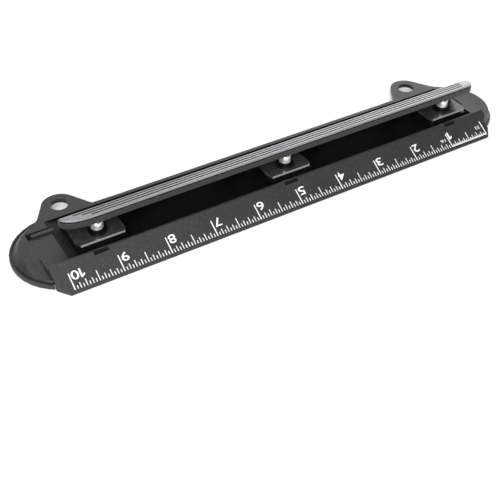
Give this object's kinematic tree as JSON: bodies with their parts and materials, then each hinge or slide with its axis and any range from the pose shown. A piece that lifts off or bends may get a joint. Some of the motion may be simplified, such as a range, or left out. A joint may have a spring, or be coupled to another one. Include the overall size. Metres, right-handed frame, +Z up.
{
  "type": "three-hole punch",
  "caption": "Slim desk and ring-binder paper punch: long hinged press lever over spring-returned pins, ruler front edge, chip tray and two ring ears.",
  "frame": {"origin": "desk level under the middle of the footprint", "axes": "+X along the ruler towards its zero end, +Y from the ruler edge to the ring ears, +Z up from the desk"},
  "size_m": [0.295, 0.0706, 0.0241],
  "materials": {
    "black_plastic": "fine-grained satin black moulding",
    "tray_plastic": "soft satin black moulding",
    "grip_metal": "satin drawn strip with fine lengthwise grooves",
    "polished_steel": "ground and polished",
    "dark_steel": "black oxide, half gloss",
    "spring_steel": "plain drawn wire"
  },
  "bodies": {
    "base": {"base_frame": "black_plastic", "chip_tray": "tray_plastic", "hinge_rod_left": "spring_steel", "rod_clip_left_inner": "spring_steel", "rod_clip_left_outer": "spring_steel", "hinge_rod_right": "spring_steel", "rod_clip_right_inner": "spring_steel", "rod_clip_right_outer": "spring_steel", "lever_spring_left": "spring_steel", "lever_spring_right": "spring_steel", "die_plate_left": "dark_steel", "guide_frame_left": "dark_steel", "die_plate_middle": "dark_steel", "guide_frame_middle": "dark_steel", "die_plate_right": "dark_steel", "guide_frame_right": "dark_steel", "frame_rivet_left_left": "spring_steel", "frame_rivet_left_right": "spring_steel", "frame_rivet_middle_left": "spring_steel", "frame_rivet_middle_right": "spring_steel", "frame_rivet_right_left": "spring_steel", "frame_rivet_right_right": "spring_steel"},
    "lever": {"lever_beam": "black_plastic", "lever_grip_strip": "grip_metal", "lift_fork_left": "dark_steel", "lift_fork_middle": "dark_steel", "lift_fork_right": "dark_steel"},
    "pin_left": {"punch_pin_left": "polished_steel"},
    "pin_middle": {"punch_pin_middle": "polished_steel"},
    "pin_right": {"punch_pin_right": "polished_steel"}
  },
  "joints": [
    {"name": "lever_press", "type": "hinge", "parent": "base", "child": "lever", "pos_m": [0, 0.0062, 0.0066], "axis": [1, 0, 0], "range_deg": [0, 10], "stiffness_Nm_per_rad": 0.1, "springref_deg": -17.19, "deforming": ["lever_spring_left", "lever_spring_right"]},
    {"name": "pin_left_stroke", "type": "slide", "parent": "base", "child": "pin_left", "axis": [0, 0, -1], "range_m": [0, 0.00291]},
    {"name": "pin_middle_stroke", "type": "slide", "parent": "base", "child": "pin_middle", "axis": [0, 0, -1], "range_m": [0, 0.00291]},
    {"name": "pin_right_stroke", "type": "slide", "parent": "base", "child": "pin_right", "axis": [0, 0, -1], "range_m": [0, 0.00291]}
  ],
  "couplings": [
    {"joint": "pin_left_stroke", "follows": "lever_press", "m_per_rad": 0.01667},
    {"joint": "pin_middle_stroke", "follows": "lever_press", "m_per_rad": 0.01667},
    {"joint": "pin_right_stroke", "follows": "lever_press", "m_per_rad": 0.01667}
  ]
}
